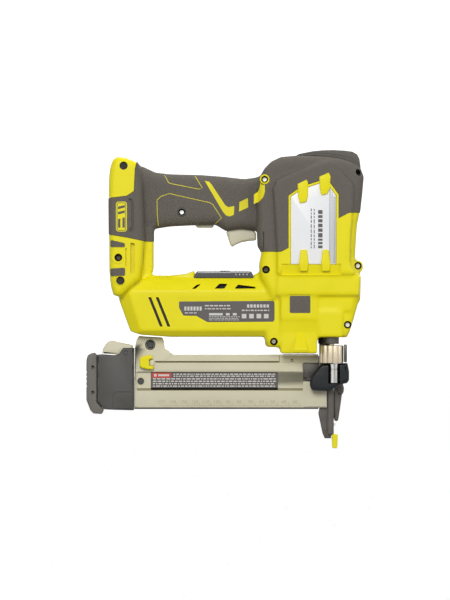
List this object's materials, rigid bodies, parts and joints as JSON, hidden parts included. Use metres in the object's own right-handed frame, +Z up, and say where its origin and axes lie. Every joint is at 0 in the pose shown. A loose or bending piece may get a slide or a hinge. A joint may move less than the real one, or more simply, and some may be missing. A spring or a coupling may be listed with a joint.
{
  "type": "brad nailer",
  "caption": "Cordless brad nailer: D-handled yellow and grey body with an on-board compressor, slim nose, and a horizontal nail magazine with a sliding rail.",
  "frame": {"origin": "centre of the bottom face of the no-mar pad on the work contact", "axes": "+Z up along the driver, from nose to head; +X from the battery foot towards the head; Y across the tool, -Y on the side with the housing screws"},
  "size_m": [0.2638, 0.08, 0.2835],
  "materials": {
    "housing_plastic": "satin, fine moulded grain",
    "overmould_rubber": "matt, fine grain",
    "black_plastic": "satin",
    "grey_plastic": "matt",
    "cream_plastic": "satin",
    "silver_plate": "painted silver, satin",
    "steel": "machined",
    "dark_steel": "phosphated, dull",
    "nickel": "nickel plated",
    "cast_aluminium": "cast",
    "rotor": "laminations and winding",
    "board": "circuit board",
    "gloss_black": "polished"
  },
  "bodies": {
    "housing": {"battery_contacts": "grey_plastic", "battery_receiver": "black_plastic", "circuit_board": "board", "compressor_cylinder": "cast_aluminium", "contact_spring": "dark_steel", "control_panel": "gloss_black", "cylinder_head": "cast_aluminium", "drive_bumper": "overmould_rubber", "drive_cylinder": "cast_aluminium", "housing_left": "housing_plastic", "housing_right": "housing_plastic", "housing_screw_1": "dark_steel", "housing_screw_2": "dark_steel", "housing_screw_3": "dark_steel", "housing_screw_4": "dark_steel", "housing_screw_5": "dark_steel", "housing_screw_6": "dark_steel", "housing_screw_7": "dark_steel", "magazine_housing": "cream_plastic", "magazine_screw_1": "dark_steel", "magazine_screw_2": "dark_steel", "motor_can": "steel", "nose_bracket": "dark_steel", "nose_casting": "dark_steel", "ring_gear": "dark_steel", "rubber_cover_left": "overmould_rubber", "rubber_cover_right": "overmould_rubber", "spare_pad": "housing_plastic", "top_cap": "black_plastic", "trigger_spring": "steel", "trigger_switch": "black_plastic", "window_panel_left": "silver_plate", "window_panel_right": "silver_plate"},
    "rotor": {"motor_rotor": "rotor"},
    "planet_carrier": {"gear_carrier": "steel", "crank_wheel": "steel"},
    "planet_1": {"planet_gear_1": "steel"},
    "planet_2": {"planet_gear_2": "steel"},
    "planet_3": {"planet_gear_3": "steel"},
    "pump_piston": {"compressor_piston": "cast_aluminium", "connecting_rod": "cast_aluminium"},
    "driver": {"drive_piston": "cast_aluminium", "driver_blade": "steel"},
    "trigger": {"trigger": "cream_plastic"},
    "grip_lever": {"grip_lever": "cream_plastic"},
    "mode_button": {"mode_button": "overmould_rubber"},
    "pressure_dial": {"pressure_dial": "grey_plastic"},
    "contact_lift": {"depth_sleeve": "steel"},
    "depth_wheel": {"depth_wheel": "nickel"},
    "work_contact": {"contact_bracket": "black_plastic", "work_contact": "dark_steel", "no_mar_pad": "housing_plastic"},
    "magazine_slide": {"magazine_rail": "dark_steel", "magazine_end": "black_plastic", "magazine_end_cap": "grey_plastic", "pusher_spring": "steel"},
    "nail_pusher": {"nail_pusher": "black_plastic"},
    "release_lever": {"release_lever": "cream_plastic"},
    "nose_door": {"nose_door": "steel"},
    "jam_latch": {"jam_latch": "dark_steel"}
  },
  "joints": [
    {"name": "motor_spin", "type": "hinge", "parent": "housing", "child": "rotor", "pos_m": [-0.1566, 0, 0.134], "axis": [1, 0, 0], "continuous": true},
    {"name": "carrier_spin", "type": "hinge", "parent": "housing", "child": "planet_carrier", "pos_m": [-0.1046, 0, 0.134], "axis": [1, 0, 0], "continuous": true},
    {"name": "planet_1_spin", "type": "hinge", "parent": "planet_carrier", "child": "planet_1", "pos_m": [-0.1146, 0.00797, 0.1386], "axis": [1, 0, 0], "continuous": true},
    {"name": "planet_2_spin", "type": "hinge", "parent": "planet_carrier", "child": "planet_2", "pos_m": [-0.1146, -0.00797, 0.1386], "axis": [1, 0, 0], "continuous": true},
    {"name": "planet_3_spin", "type": "hinge", "parent": "planet_carrier", "child": "planet_3", "pos_m": [-0.1146, 0, 0.1248], "axis": [1, 0, 0], "continuous": true},
    {"name": "pump_stroke", "type": "slide", "parent": "housing", "child": "pump_piston", "axis": [0, 0, 1], "range_m": [0, 0.028]},
    {"name": "driver_stroke", "type": "slide", "parent": "housing", "child": "driver", "axis": [0, 0, -1], "range_m": [0, 0.0755]},
    {"name": "trigger_pull", "type": "slide", "parent": "housing", "child": "trigger", "axis": [0, 0, 1], "range_m": [0, 0.005], "stiffness_N_per_m": 600, "springref_m": -0.004, "deforming": ["trigger_spring"]},
    {"name": "grip_lever_press", "type": "slide", "parent": "housing", "child": "grip_lever", "axis": [0, 0, 1], "range_m": [0, 0.0022], "stiffness_N_per_m": 500, "springref_m": -0.002},
    {"name": "mode_button_press", "type": "slide", "parent": "housing", "child": "mode_button", "axis": [0, 0, -1], "range_m": [0, 0.0012], "stiffness_N_per_m": 500, "springref_m": -0.001},
    {"name": "pressure_dial_turn", "type": "hinge", "parent": "housing", "child": "pressure_dial", "pos_m": [-0.0066, 0, 0.281], "axis": [0, 0, 1], "range_deg": [0, 270]},
    {"name": "contact_lift", "type": "slide", "parent": "housing", "child": "contact_lift", "axis": [0, 0, 1], "range_m": [0, 0.0055], "stiffness_N_per_m": 700, "springref_m": -0.006, "deforming": ["contact_spring"]},
    {"name": "depth_wheel_turn", "type": "hinge", "parent": "contact_lift", "child": "depth_wheel", "pos_m": [-0.0036, -0.0198, 0.09], "axis": [0, 0, 1], "range_deg": [0, 720]},
    {"name": "depth_adjust", "type": "slide", "parent": "contact_lift", "child": "work_contact", "axis": [0, 0, -1], "range_m": [0, 0.003]},
    {"name": "magazine_open", "type": "slide", "parent": "housing", "child": "magazine_slide", "axis": [-1, 0, 0], "range_m": [0, 0.13]},
    {"name": "pusher_travel", "type": "slide", "parent": "magazine_slide", "child": "nail_pusher", "axis": [-1, 0, 0], "range_m": [0, 0.12], "stiffness_N_per_m": 20, "springref_m": -0.1, "deforming": ["pusher_spring"]},
    {"name": "release_lever_lift", "type": "hinge", "parent": "magazine_slide", "child": "release_lever", "pos_m": [-0.1989, 0, 0.0908], "axis": [0, 1, 0], "range_deg": [0, 14], "stiffness_Nm_per_rad": 0.06, "springref_deg": -17.19},
    {"name": "nose_door_open", "type": "hinge", "parent": "housing", "child": "nose_door", "pos_m": [0, 0, 0.0225], "axis": [0, 1, 0], "range_deg": [0, 60]},
    {"name": "jam_latch_open", "type": "hinge", "parent": "nose_door", "child": "jam_latch", "pos_m": [0.0039, 0, 0.057], "axis": [0, -1, 0], "range_deg": [0, 80]}
  ],
  "couplings": [
    {"joint": "carrier_spin", "follows": "motor_spin", "ratio": 0.2},
    {"joint": "planet_1_spin", "follows": "motor_spin", "ratio": -0.53333},
    {"joint": "planet_2_spin", "follows": "motor_spin", "ratio": -0.53333},
    {"joint": "planet_3_spin", "follows": "motor_spin", "ratio": -0.53333},
    {"joint": "depth_adjust", "follows": "depth_wheel_turn", "m_per_rad": 0.0002387}
  ]
}
